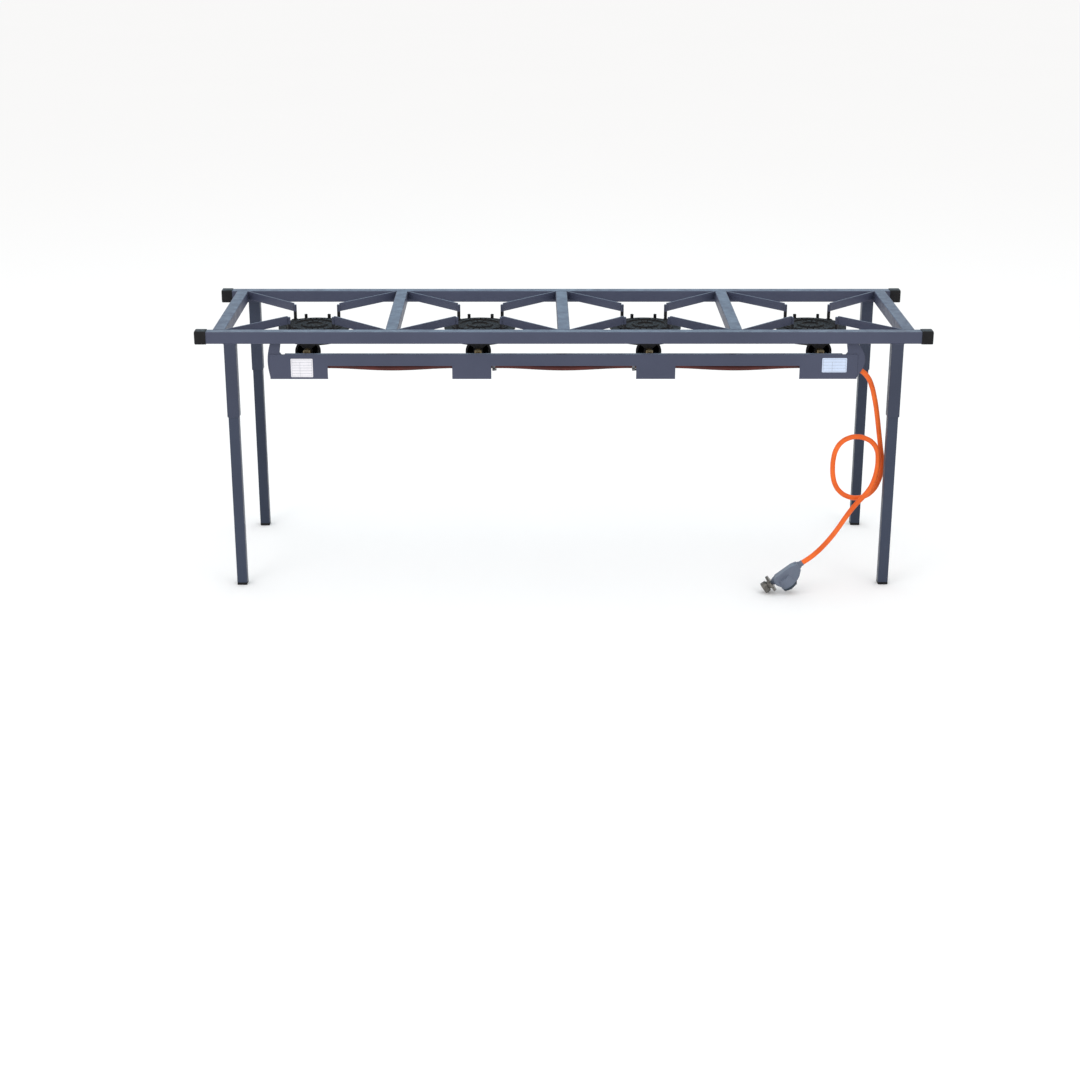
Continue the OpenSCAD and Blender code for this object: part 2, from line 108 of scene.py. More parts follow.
REG_TILT = math.radians(36)
REG_AT = Vector((597, -352, 14)) * MM
REG_AXIS = Vector((math.cos(REG_TILT), 0.0, math.sin(REG_TILT)))
REG_LEN = 140 * MM
HOSE_TAIL = 25 * MM
# Local Z of this place runs from the union nut's mouth to the hose tail, and local X to the bonnet.
REG_PLACE = Matrix.Translation(REG_AT) @ Matrix.Rotation(math.pi / 2 - REG_TILT, 4, "Y")

# Route of the supply hose from the last tap to the regulator, in millimetres
HOSE_ROUTE_MM = [
    (775, -246, 670), (800, -246, 670), (826, -246, 669), (850, -246, 664), (872, -245, 653),
    (891, -244, 634), (904, -243, 607), (913, -242, 576), (921, -241, 541), (928, -240, 501),
    (935, -239, 458), (942, -238, 416), (948, -237, 378), (948, -236, 341), (940, -235, 307),
    (925, -235, 281), (902, -235, 264), (876, -235, 259), (850, -236, 265), (828, -237, 280),
    (813, -238, 302), (805, -240, 328), (802, -242, 357), (803, -244, 387), (809, -246, 414),
    (823, -249, 437), (844, -251, 451), (868, -254, 456), (893, -256, 451), (914, -258, 438),
    (928, -260, 415), (932, -260, 390), (931, -260, 358), (925, -260, 326), (914, -260, 298),
    (897, -261, 274), (877, -265, 253), (857, -276, 233), (837, -293, 212), (817, -312, 191),
    (796, -331, 171), (774, -344, 150), (752, -350, 129),
]
HOSE_ROUTE = [Vector(p) * MM for p in HOSE_ROUTE_MM]
HOSE_ROUTE += [REG_AT + (REG_LEN + HOSE_TAIL) * REG_AXIS, REG_AT + REG_LEN * REG_AXIS]

# ---------- materials ----------


class Paint:
    """A material's node tree, with one short call for each node used here."""

    def __init__(self, name):
        self.material = bpy.data.materials.new(name)
        self.material.use_nodes = True
        self.tree = self.material.node_tree
        self.shader = next(n for n in self.tree.nodes if n.type == "BSDF_PRINCIPLED")
        self.place = self.node("ShaderNodeTexCoord").outputs["Object"]
        self.geometry = self.node("ShaderNodeNewGeometry")

    def node(self, kind, **settings):
        made = self.tree.nodes.new(kind)
        for key, value in settings.items():
            setattr(made, key, value)
        return made

    def put(self, socket, value):
        if isinstance(value, bpy.types.NodeSocket):
            self.tree.links.new(value, socket)
        else:
            socket.default_value = value

    def constant(self, **values):
        for key, value in values.items():
            self.shader.inputs[key.replace("_", " ")].default_value = value

    def stretched(self, x, y, z):
        node = self.node("ShaderNodeMapping")
        self.put(node.inputs["Vector"], self.place)
        node.inputs["Scale"].default_value = (x, y, z)
        return node.outputs["Vector"]

    def noise(self, scale, detail=3.0, rough=0.5, at=None):
        node = self.node("ShaderNodeTexNoise")
        self.put(node.inputs["Vector"], at or self.place)
        node.inputs["Scale"].default_value = scale
        node.inputs["Detail"].default_value = detail
        node.inputs["Roughness"].default_value = rough
        return node.outputs["Fac"]

    def cells(self, scale, feature="F1"):
        node = self.node("ShaderNodeTexVoronoi", feature=feature)
        self.put(node.inputs["Vector"], self.place)
        node.inputs["Scale"].default_value = scale
        return node.outputs["Distance"]

    def band(self, value, start, end, low_to=0.0, high_to=1.0):
        node = self.node("ShaderNodeMapRange")
        self.put(node.inputs["Value"], value)
        self.put(node.inputs["From Min"], start)
        self.put(node.inputs["From Max"], end)
        self.put(node.inputs["To Min"], low_to)
        self.put(node.inputs["To Max"], high_to)
        return node.outputs["Result"]

    def math(self, operation, a, b=0.0):
        node = self.node("ShaderNodeMath", operation=operation)
        self.put(node.inputs[0], a)
        self.put(node.inputs[1], b)
        return node.outputs["Value"]

    def mix(self, share, a, b):
        node = self.node("ShaderNodeMix", data_type="RGBA")
        self.put(node.inputs["Factor"], share)
        self.put(node.inputs["A"], a if isinstance(a, bpy.types.NodeSocket) else (*a, 1.0))
        self.put(node.inputs["B"], b if isinstance(b, bpy.types.NodeSocket) else (*b, 1.0))
        return node.outputs["Result"]

    def facing_up(self):
        split = self.node("ShaderNodeSeparateXYZ")
        self.put(split.inputs["Vector"], self.geometry.outputs["Normal"])
        return self.band(split.outputs["Z"], 0.55, 0.98)

    def edges(self, radius):
        """1 on a convex or concave edge, 0 on open faces."""
        soft = self.node("ShaderNodeBevel", samples=4)
        soft.inputs["Radius"].default_value = radius
        dot = self.node("ShaderNodeVectorMath", operation="DOT_PRODUCT")
        self.put(dot.inputs[0], soft.outputs["Normal"])
        self.put(dot.inputs[1], self.geometry.outputs["Normal"])
        return self.band(dot.outputs["Value"], 0.995, 0.9)

    def bump(self, height, strength, distance, under=None):
        node = self.node("ShaderNodeBump")
        node.inputs["Strength"].default_value = strength
        node.inputs["Distance"].default_value = distance
        self.put(node.inputs["Height"], height)
        if under is not None:
            self.put(node.inputs["Normal"], under)
        return node.outputs["Normal"]

    def finish(self, colour, roughness, normal):
        self.put(self.shader.inputs["Base Color"], colour)
        self.put(self.shader.inputs["Roughness"], roughness)
        self.put(self.shader.inputs["Normal"], normal)
        return self.material


def baked_paint(name, light, dark, worn, dust_share=0.12):
    """Satin baked paint: slow tone changes, orange peel, dust on top, worn edges."""
    p = Paint(name)
    tone = p.mix(p.band(p.noise(2.3, 4.0, 0.6), 0.35, 0.65), dark, light)
    fine = p.mix(p.band(p.noise(900.0, 2.0), 0.3, 0.7, 0.0, 0.16), tone, worn)
    dust = p.math("MULTIPLY", p.facing_up(), p.band(p.noise(14.0, 5.0, 0.7), 0.4, 0.8, 0.0, dust_share))
    dusty = p.mix(dust, fine, (0.26, 0.30, 0.33))
    chips = p.math("MULTIPLY", p.edges(1.2 * MM), p.band(p.noise(130.0, 5.0, 0.7), 0.52, 0.62))
    scuffs = p.band(p.noise(1.0, 6.0, 0.75, p.stretched(9.0, 60.0, 60.0)), 0.66, 0.74, 0.0, 0.25)
    colour = p.mix(p.math("MAXIMUM", chips, scuffs), dusty, worn)
    rough = p.band(p.noise(35.0, 4.0, 0.6), 0.3, 0.7, 0.36, 0.54)
    peel = p.bump(p.noise(420.0, 2.0), 0.22, 0.35 * MM)
    normal = p.bump(p.noise(30.0, 2.0), 0.12, 0.8 * MM, peel)
    p.shader.inputs["Specular IOR Level"].default_value = 0.3
    return p.finish(colour, rough, normal)


def moulded_plastic(name, base, grey):
    p = Paint(name)
    tone = p.mix(p.band(p.noise(60.0, 4.0), 0.35, 0.7, 0.0, 0.5), base, grey)
    scratch = p.band(p.noise(1.0, 6.0, 0.7, p.stretched(500.0, 40.0, 90.0)), 0.64, 0.72, 0.0, 0.5)
    rubbed = p.math("MAXIMUM", scratch, p.math("MULTIPLY", p.edges(1.0 * MM), 0.45))
    colour = p.mix(rubbed, tone, tuple(2.5 * c for c in grey))
    rough = p.band(p.noise(90.0, 3.0), 0.3, 0.7, 0.46, 0.66)
    normal = p.bump(p.noise(1500.0, 2.0), 0.25, 0.12 * MM)
    p.shader.inputs["Specular IOR Level"].default_value = 0.22
    return p.finish(colour, rough, normal)


def cast_iron(name, base, rust, ash):
    """Sand-cast iron: coarse grain, pits, brown bloom and pale heat marks."""
    p = Paint(name)
    bloom = p.band(p.noise(28.0, 6.0, 0.7), 0.52, 0.72, 0.0, 0.55)
    tone = p.mix(bloom, base, rust)
    pale = p.math("MULTIPLY", p.facing_up(), p.band(p.noise(75.0, 5.0, 0.7), 0.55, 0.75, 0.0, 0.35))
    greyed = p.mix(pale, tone, ash)
    rub = p.math("MULTIPLY", p.edges(1.5 * MM), p.band(p.noise(200.0, 4.0), 0.4, 0.6, 0.1, 0.6))
    colour = p.mix(rub, greyed, ash)
    rough = p.band(p.noise(120.0, 4.0), 0.3, 0.7, 0.55, 0.8)
    grain = p.bump(p.noise(520.0, 5.0, 0.7), 0.5, 0.5 * MM)
    normal = p.bump(p.cells(240.0), 0.25, 0.5 * MM, grain)
    p.shader.inputs["Specular IOR Level"].default_value = 0.16
    return p.finish(colour, rough, normal)


def bare_metal(name, light, dark, rough_low, rough_high, stretch, metallic=1.0):
    """Worked metal with tool lines along one direction, dulled patches and brighter edges."""
    p = Paint(name)
    lines = p.noise(1.0, 3.0, 0.6, p.stretched(*stretch))
    stain = p.band(p.noise(55.0, 5.0, 0.65), 0.4, 0.7)
    tone = p.mix(stain, light, dark)
    lined = p.mix(p.band(lines, 0.35, 0.65, 0.0, 0.3), tone, dark)
    rubbed = tuple(min(1.0, 1.35 * c) for c in light)
    colour = p.mix(p.math("MULTIPLY", p.edges(0.7 * MM), 0.5), lined, rubbed)
    rough = p.math("ADD", p.band(lines, 0.3, 0.7, 0.0, 0.08),
                   p.band(stain, 0.0, 1.0, rough_low, rough_high))
    normal = p.bump(lines, 0.12, 0.1 * MM)
    p.constant(Metallic=metallic)
    return p.finish(colour, rough, normal)


def hose_rubber(name, light, dark, soiled):
    """Gas-hose cover with a fine cloth print, soft marks and dust."""
    p = Paint(name)
    tone = p.mix(p.band(p.noise(16.0, 4.0), 0.35, 0.65), dark, light)
    marks = p.band(p.noise(90.0, 6.0, 0.75), 0.62, 0.76, 0.0, 0.45)
    colour = p.mix(marks, tone, soiled)
    rough = p.band(p.noise(60.0, 3.0), 0.3, 0.7, 0.38, 0.56)
    print_ = p.bump(p.cells(1100.0), 0.3, 0.18 * MM)
    normal = p.bump(p.noise(180.0, 3.0), 0.12, 0.4 * MM, print_)
    p.shader.inputs["Specular IOR Level"].default_value = 0.28
    return p.finish(colour, rough, normal)


def label_film(name, base):
    p = Paint(name)
    tone = p.mix(p.band(p.noise(45.0, 4.0), 0.4, 0.7, 0.0, 0.5), base, tuple(0.88 * c for c in base))
    grime = p.math("MULTIPLY", p.edges(1.5 * MM), p.band(p.noise(160.0, 4.0), 0.4, 0.7, 0.1, 0.6))
    colour = p.mix(grime, tone, (0.33, 0.34, 0.37))
    rough = p.band(p.noise(80.0, 3.0), 0.3, 0.7, 0.22, 0.36)
    normal = p.bump(p.noise(160.0, 2.0), 0.15, 0.15 * MM)
    return p.finish(colour, rough, normal)


FRAME_PAINT = baked_paint(
    "frame_paint", (0.058, 0.066, 0.110), (0.044, 0.051, 0.088), (0.105, 0.125, 0.17))
# Sockets and rear legs: darker copies of the frame and leg paints, painted shade under the rails, darkest
# at the back of the stand.
SOCKET_COAT_PAINTED_SHADE = baked_paint(
    "socket_coat_painted_shade", (0.037, 0.045, 0.078), (0.028, 0.035, 0.062), (0.09, 0.11, 0.15))
REAR_SOCKET_COAT_PAINTED_SHADE = baked_paint("rear_socket_coat_painted_shade", (0.028, 0.037, 0.066), (0.020, 0.028, 0.052), (0.08, 0.10, 0.14))
LEG_PAINT = baked_paint("leg_paint", (0.033, 0.044, 0.077), (0.025, 0.034, 0.062), (0.085, 0.105, 0.145))
REAR_LEG_COAT_PAINTED_SHADE = baked_paint(
    "rear_leg_coat_painted_shade", (0.019, 0.028, 0.053), (0.013, 0.020, 0.040), (0.065, 0.085, 0.125))
WELD_PAINT = baked_paint("weld_paint", (0.052, 0.060, 0.100), (0.040, 0.047, 0.080), (0.10, 0.12, 0.16))
BLACK_PLASTIC = moulded_plastic("black_plastic", (0.0045, 0.0045, 0.0055), (0.009, 0.009, 0.0105))
KNOB_PLASTIC = moulded_plastic("knob_plastic", (0.006, 0.006, 0.0075), (0.012, 0.012, 0.014))
CAST_IRON = cast_iron(
    "cast_iron", (0.0055, 0.0058, 0.0070), (0.013, 0.009, 0.007), (0.026, 0.026, 0.029))
CAP_IRON = cast_iron(
    "burner_cap_iron", (0.005, 0.005, 0.006), (0.018, 0.011, 0.007), (0.045, 0.043, 0.042))
BLACK_STEEL = bare_metal(
    "black_steel", (0.016, 0.0165, 0.019), (0.008, 0.008, 0.010), 0.42, 0.62, (300.0, 300.0, 40.0), 0.4)
BRASS = bare_metal("brass", (0.27, 0.205, 0.11), (0.105, 0.08, 0.046), 0.34, 0.55, (60.0, 700.0, 700.0))
JET_BRASS = bare_metal(
    "jet_brass", (0.075, 0.060, 0.036), (0.030, 0.025, 0.018), 0.45, 0.65, (60.0, 700.0, 700.0))
CLAMP_STEEL = bare_metal(
    "clamp_steel", (0.20, 0.205, 0.22), (0.075, 0.075, 0.085), 0.3, 0.52, (90.0, 600.0, 600.0))
NUT_METAL = bare_metal(
    "nut_metal", (0.235, 0.225, 0.205), (0.085, 0.082, 0.078), 0.28, 0.5, (500.0, 500.0, 500.0))
ORANGE_HOSE = hose_rubber("orange_hose", (0.85, 0.148, 0.018), (0.71, 0.108, 0.012), (0.34, 0.07, 0.015))
# Link hoses: the same orange hose darkened to red-brown, painted shade for hoses lying in shadow behind the
# panel.
LINK_HOSE_PAINTED_SHADE = hose_rubber("link_hose", (0.095, 0.016, 0.012), (0.055, 0.010, 0.008), (0.03, 0.008, 0.007))
REG_GREY = baked_paint(
    "regulator_grey", (0.122, 0.147, 0.200), (0.095, 0.116, 0.160), (0.25, 0.27, 0.31))
REG_DARK = baked_paint(
    "regulator_dark", (0.024, 0.040, 0.058), (0.017, 0.029, 0.043), (0.09, 0.11, 0.13))
LABEL_WHITE = label_film("label_film", (0.80, 0.79, 0.83))
LABEL_BLUE = label_film("label_blue_film", (0.58, 0.68, 0.86))
LABEL_INK = label_film("label_ink", (0.30, 0.32, 0.38))
INDEX_WHITE = moulded_plastic("index_white", (0.72, 0.72, 0.70), (0.55, 0.55, 0.53))

# ---------- mesh helpers ----------


def put_on(obj, body, replaces=()):
    """Parents the object to its CAD body and hides the nodes that it stands for."""
    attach(obj, body)
    if replaces:
        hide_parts(*replaces)
    return obj


def smooth(mesh, angle=38.0):
    mesh.polygons.foreach_set("use_smooth", [True] * len(mesh.polygons))
    mesh.set_sharp_from_angle(angle=math.radians(angle))


def new_object(name, mesh, material):
    mesh.materials.clear()
    mesh.materials.append(material)
    obj = bpy.data.objects.new(name, mesh)
    bpy.context.scene.collection.objects.link(obj)
    return obj


def rounded(obj, width, segments=2, angle=30.0):
    """Rounds every edge sharper than the angle, and keeps the flats flat."""
    bevel = obj.modifiers.new("bevel", "BEVEL")
    bevel.width = width
    bevel.segments = segments
    bevel.limit_method = "ANGLE"
    bevel.angle_limit = math.radians(angle)
    bevel.use_clamp_overlap = False
    bevel.miter_outer = "MITER_ARC" if segments > 1 else "MITER_SHARP"
    normals = obj.modifiers.new("normals", "WEIGHTED_NORMAL")
    normals.keep_sharp = True
    return obj


def refined(node, body, material, width=0.5 * MM, segments=2, angle=30.0):
    """A CAD node's own shape with its edges rounded, which then stands for the node."""
    mesh = NODES[node].data.copy()
    work = bmesh.new()
    work.from_mesh(mesh)
    bmesh.ops.remove_doubles(work, verts=work.verts, dist=1e-6)
    bmesh.ops.dissolve_limit(
        work, angle_limit=math.radians(0.4), verts=work.verts, edges=work.edges, delimit=set())
    bmesh.ops.recalc_face_normals(work, faces=work.faces)
    work.to_mesh(mesh)
    work.free()
    smooth(mesh)
    obj = new_object("look_" + node, mesh, material)
    if width:
        rounded(obj, width, segments, angle)
    return put_on(obj, body, [node])


def round_ring(radius, count=48):
    return [Vector((radius * math.cos(t), radius * math.sin(t), 0.0))
            for t in (2 * math.pi * k / count for k in range(count))]


def square_ring(side, radius, per_corner=7):
    """Square outline with rounded corners, centred on the axis."""
    reach = side / 2 - radius
    points = []
    for quarter in range(4):
        centre = Vector((reach, reach, 0.0))
        centre.rotate(Matrix.Rotation(quarter * math.pi / 2, 3, "Z"))
        for k in range(per_corner):
            t = quarter * math.pi / 2 + k / (per_corner - 1) * math.pi / 2
            points.append(centre + Vector((radius * math.cos(t), radius * math.sin(t), 0.0)))
    return points


class Shape:
    """Rings of points gathered into one mesh. Each add is closed at both ends."""

    def __init__(self):
        self.points = []
        self.faces = []

    def rings(self, rings, place=Matrix()):
        first = len(self.points)
        count = len(rings[0])
        for ring in rings:
            self.points += [place @ p for p in ring]
        for i in range(len(rings) - 1):
            for k in range(count):
                a = first + i * count + k
                b = first + i * count + (k + 1) % count
                self.faces.append((a, b, b + count, a + count))
        last = first + (len(rings) - 1) * count
        self.faces.append(tuple(first + k for k in reversed(range(count))))
        self.faces.append(tuple(last + k for k in range(count)))

    def turned(self, profile, place=Matrix(), count=48):
        """A solid of revolution about local Z, from (radius, height) pairs."""
        self.rings([[p + Vector((0, 0, z)) for p in round_ring(r, count)] for r, z in profile], place)

    def squared(self, profile, place=Matrix()):
        """A square bar along local Z, from (side, corner radius, height) triples."""
        self.rings([[p + Vector((0, 0, z)) for p in square_ring(s, r)] for s, r, z in profile], place)

    def block(self, lowest, highest, place=Matrix(), soft=0.0004):
        """A box with chamfered edges."""
        lowest, highest = Vector(lowest), Vector(highest)

        def level(z, inset):
            x0, y0 = lowest.x + inset, lowest.y + inset
            x1, y1 = highest.x - inset, highest.y - inset
            c = soft
            return [Vector(v) for v in (
                (x0 + c, y0, z), (x1 - c, y0, z), (x1, y0 + c, z), (x1, y1 - c, z),
                (x1 - c, y1, z), (x0 + c, y1, z), (x0, y1 - c, z), (x0, y0 + c, z))]

        self.rings([level(lowest.z, soft), level(lowest.z + soft, 0.0),
                    level(highest.z - soft, 0.0), level(highest.z, soft)], place)

    def build(self, name, material, body, replaces=(), angle=38.0):
        mesh = bpy.data.meshes.new(name)
        mesh.from_pydata([tuple(p) for p in self.points], [], self.faces)
        work = bmesh.new()
        work.from_mesh(mesh)
        bmesh.ops.recalc_face_normals(work, faces=work.faces)
        work.to_mesh(mesh)
        work.free()
        smooth(mesh, angle)
        return put_on(new_object(name, mesh, material), body, replaces)


def towards(start, axis, side=(0, 0, 1)):
    """Place whose local Z runs along the axis and whose local X lies near side."""
    z = Vector(axis).normalized()
    x = Vector(side) - z * Vector(side).dot(z)
    x = x.normalized() if x.length > 1e-6 else z.orthogonal().normalized()
    y = z.cross(x)
    return Matrix.Translation(Vector(start)) @ Matrix((x, y, z)).transposed().to_4x4()


# ---------- hoses ----------


def hose_curve(name, points, diameter, material):
    data = bpy.data.curves.new(name, "CURVE")
    data.dimensions = "3D"
    data.bevel_depth = diameter / 2
    data.bevel_resolution = 6
    data.resolution_u = 8
    data.use_fill_caps = True
    spline = data.splines.new("BEZIER")
    spline.bezier_points.add(len(points) - 1)
    for made, point in zip(spline.bezier_points, points):
        made.co = point
        made.handle_left_type = "AUTO"
        made.handle_right_type = "AUTO"
    data.materials.append(material)
    obj = bpy.data.objects.new(name, data)
    bpy.context.scene.collection.objects.link(obj)
    return obj


def link_hose_points(i):
    """A hose between two taps: straight on the barbs, with a small sag between them."""
    barb_start = 25 * MM
    straight = 35 * MM
    sag = 7 * MM
    steps = 14
    start = BURNER_X[i] + barb_start
    run = BURNER_X[i + 1] - BURNER_X[i] - 2 * barb_start
    points = [Vector((start, HOSE_Y, HOSE_Z))]
    for k in range(steps + 1):
        t = k / steps
        drop = sag * math.sin(math.pi * t) ** 2
        points.append(Vector((start + straight + (run - 2 * straight) * t, HOSE_Y, HOSE_Z - drop)))
    points.append(Vector((start + run, HOSE_Y, HOSE_Z)))
    return points


supply_hose = put_on(
    hose_curve("supply_hose_look", HOSE_ROUTE, HOSE_D, ORANGE_HOSE), "root", ["supply_hose"])
# The link hoses take the darkened hose colour, which is painted shade.
for number in range(3):
    link_points = link_hose_points(number)
    link = hose_curve(f"link_hose_{number + 1}", link_points, HOSE_D, LINK_HOSE_PAINTED_SHADE)
    put_on(link, "root", ["link_hoses"])

# ---------- frame ----------


def make_frame():
    for node in ["front_rail", "back_rail"] + [f"cross_tube_{i}" for i in range(1, 6)]:
        refined(node, "root", FRAME_PAINT, 0.3 * MM, 2, 50.0)
    for i in BURNERS:
        refined(f"pot_arms_{i}", "root", FRAME_PAINT, 0.7 * MM, 3)
    for corner in CORNERS:
        socket, leg = "leg_socket_" + corner, "leg_" + corner
        rear = corner.startswith("back")
        # Sockets and rear legs take the darkened paint copies, which are painted shade.
        refined(socket, "root", REAR_SOCKET_COAT_PAINTED_SHADE if rear else SOCKET_COAT_PAINTED_SHADE, 0.4 * MM, 2, 50.0)
        refined(leg, leg, REAR_LEG_COAT_PAINTED_SHADE if rear else LEG_PAINT, 0.3 * MM, 2, 50.0)


def make_rail_caps():
    """Moulded caps with a domed end and a soft rim where they grip the rail."""
    outer = TUBE + 4 * MM
    sleeve = 33 * MM
    shape = Shape()
    profile = [(26, 4.0, 0.5), (31, 4.4, 0.12), (35.4, 4.6, 0.0), (37.2, 4.8, 0.35),
               (38.3, 5.0, 1.1), (38.9, 5.0, 2.2), (39.0, 5.0, 3.4), (39.0, 5.0, 28.6),
               (38.9, 5.0, 28.9), (38.2, 4.7, 29.2), (38.2, 4.7, 30.0), (38.9, 5.0, 30.3),
               (39.0, 5.0, 30.7), (39.0, 5.0, 32.4), (38.6, 4.8, 32.8), (37.6, 4.4, 33.0),
               (35.2, 3.1, 33.0), (35.02, 3.0, 32.7), (35.02, 3.0, 3.0)]
    ratio = outer / (39 * MM)
    rings = [(s * MM * ratio, r * MM, min(z * MM, sleeve)) for s, r, z in profile]
    for rail in ("front_rail", "back_rail"):
        for side in (-1, 1):
            end = middle(rail)
            end.x = side * high("rail_caps").x
            shape.squared(rings, towards(end, (-side, 0, 0)))
    shape.build("rail_caps_look", BLACK_PLASTIC, "root", ["rail_caps"])


def make_feet():
    """Plastic plugs under the legs: a rounded head and a ribbed shank in the tube."""
    profile = [(22, 2.0, 0.0), (27, 2.2, 0.05), (28.8, 2.4, 0.4), (29.7, 2.5, 1.2),
               (30.0, 2.5, 2.2), (30.0, 2.5, 6.6), (29.6, 2.4, 7.3), (29.0, 2.3, 7.6),
               (28.9, 2.3, 7.95), (25.4, 1.2, 8.0), (25.4, 1.2, 12.0), (26.8, 1.2, 12.2),
               (26.8, 1.2, 13.8), (25.4, 1.2, 14.0), (25.4, 1.2, 20.0), (26.8, 1.2, 20.2),
               (26.8, 1.2, 21.8), (25.4, 1.2, 22.0), (25.2, 1.2, 29.0), (24.0, 1.0, 30.0)]
    for corner in CORNERS:
        foot = "foot_" + corner
        base = middle(foot)
        base.z = low(foot).z
        shape = Shape()
        shape.squared([(s * MM, r * MM, z * MM) for s, r, z in profile], Matrix.Translation(base))
        shape.build("look_" + foot, BLACK_PLASTIC, "leg_" + corner, [foot])


def weld_bead(shape, start, end, radius, seed):
    """One run of weld: overlapping ripples, a little uneven, tapered at both ends."""
    luck = random.Random(seed)
    start, end = Vector(start), Vector(end)
    length = (end - start).length
    steps = max(8, int(length / (0.9 * MM)))
    place = towards(start, end - start)
    rings = []
    for i in range(steps + 1):
        t = i / steps
        ripple = 0.86 + 0.14 * abs(math.sin(math.pi * t * length / (3.4 * MM)))
        taper = min(1.0, 0.25 + 6.0 * min(t, 1 - t))
        r = radius * ripple * taper * luck.uniform(0.94, 1.06)
        shift = Vector((luck.uniform(-0.05, 0.05) * radius, luck.uniform(-0.05, 0.05) * radius,
                        t * length))
        rings.append([p + shift for p in round_ring(r, 10)])
    shape.rings(rings, place)


def make_welds():
    shape = Shape()
    seed = 0
    inset = 1.2 * MM
    sink = 0.6 * MM
    # Cross tubes to the rails: both sides and the underside of each end
    for i in range(1, 6):
        node = f"cross_tube_{i}"
        a, b = low(node), high(node)
        for y in (a.y, b.y):
            inward = sink if y > 0 else -sink
            for x in (a.x, b.x):
                seed += 1
                outward = -sink if x == a.x else sink
                weld_bead(shape, (x - outward, y + inward, a.z + inset),
                          (x - outward, y + inward, b.z - 3 * MM), 2.2 * MM, seed)
            seed += 1
            weld_bead(shape, (a.x + 2 * MM, y + inward, a.z + sink),
                      (b.x - 2 * MM, y + inward, a.z + sink), 2.0 * MM, seed)
    # Pot arms to the bay corners: one run down each face of the flat bar
    bay_x = (high("cross_tube_2").x - low("cross_tube_1").x - TUBE) / 2 - TUBE / 2
    bay_y = high("cross_tube_1").y
    arm_half = 2.5 * MM
    for x in BURNER_X:
        for sx in (-1, 1):
            for sy in (-1, 1):
                for along_x in (True, False):
                    seed += 1
                    away = 5.5 * MM
                    dx, dy = (away, 0.4 * MM) if along_x else (0.4 * MM, away)
                    at = Vector((x + sx * (bay_x - dx), sy * (bay_y - dy), 0.0))
                    weld_bead(shape, (at.x, at.y, TOP - 24 * MM), (at.x, at.y, TOP - 1.5 * MM),
                              arm_half * 0.8, seed)
    # Leg sockets to the underside of the rails
    for corner in CORNERS:
        node = "leg_socket_" + corner
        a, b = low(node), high(node)
        for x in (a.x, b.x):
            seed += 1
            weld_bead(shape, (x, a.y + 2 * MM, b.z - sink), (x, b.y - 2 * MM, b.z - sink), 2.2 * MM, seed)
        for y in (a.y, b.y):
            seed += 1
            inner = sink if y == a.y else -sink
            weld_bead(shape, (a.x + 2 * MM, y + 1.5 * inner, b.z - 0.2 * MM),
                      (b.x - 2 * MM, y + 1.5 * inner, b.z - 0.2 * MM), 1.5 * MM, seed)
    # Hanger plates of the shield to the underside of the front rail
    for side in (-1, 1):
        seed += 1
        y = high("shield_brackets").y
        z = UNDER_RAIL - 0.3 * MM
        weld_bead(shape, (side * 822 * MM, y, z), (side * 849 * MM, y, z), 1.8 * MM, seed)
    # Hanger rods to the arms' inner ends
    rod_x = 65.8 * MM
    rod_y = 83.3 * MM
    for x in BURNER_X:
        for sx in (-1, 1):
            for sy in (-1, 1):
                for turn in (-1, 1):
                    seed += 1
                    at = Vector((x + sx * (rod_x + 4.4 * MM), sy * (rod_y + 2.9 * MM), 0.0))
                    at += Vector((-sx * 1.8 * MM * turn, sy * 2.6 * MM * turn, 0.0))
                    weld_bead(shape, (at.x, at.y, TOP - 24 * MM), (at.x, at.y, TOP - 5 * MM),
                              1.5 * MM, seed)
    shape.build("weld_beads", WELD_PAINT, "root")


make_frame()
make_rail_caps()
make_feet()
make_welds()

# ---------- burners ----------

ROD_R = 5 * MM


def rod_places():
    """The centres of the sixteen hanger rods, burner by burner."""
    reach = high("hanger_studs")
    dx = reach.x - BURNER_X[3] - ROD_R
    dy = reach.y - ROD_R
    return [(x + sx * dx, sy * dy) for x in BURNER_X for sx in (-1, 1) for sy in (-1, 1)]


def make_rods():
    """Hanger rods: plain above, threaded through the burner's ear and the nut."""
    bottom = low("hanger_studs").z
    top = high("hanger_studs").z
    arm_bottom = low("pot_arms_1").z
    thread_top = bottom + 30 * MM
    pitch = 1.5 * MM
    root_r = ROD_R - 0.75 * MM
    threaded = [(ROD_R - 1.4 * MM, bottom), (root_r, bottom + 0.6 * MM)]
    z = bottom + pitch
    while z < thread_top:
        threaded += [(root_r, z - 0.45 * pitch), (ROD_R, z - 0.1 * pitch),
                     (ROD_R, z + 0.1 * pitch), (root_r, z + 0.45 * pitch)]
        z += pitch
    threaded += [(ROD_R, thread_top + 1.0 * MM), (ROD_R, arm_bottom)]
    painted = [(ROD_R, arm_bottom), (ROD_R, top - 0.5 * MM), (ROD_R - 0.5 * MM, top)]
    for name, profile, material in (
        ("hanger_rods_look", threaded, BLACK_STEEL), ("hanger_rods_painted", painted, FRAME_PAINT)
    ):
        shape = Shape()
        for x, y in rod_places():
            shape.turned(profile, Matrix.Translation((x, y, 0.0)), 28)
        shape.build(name, material, "root", ["hanger_studs"])


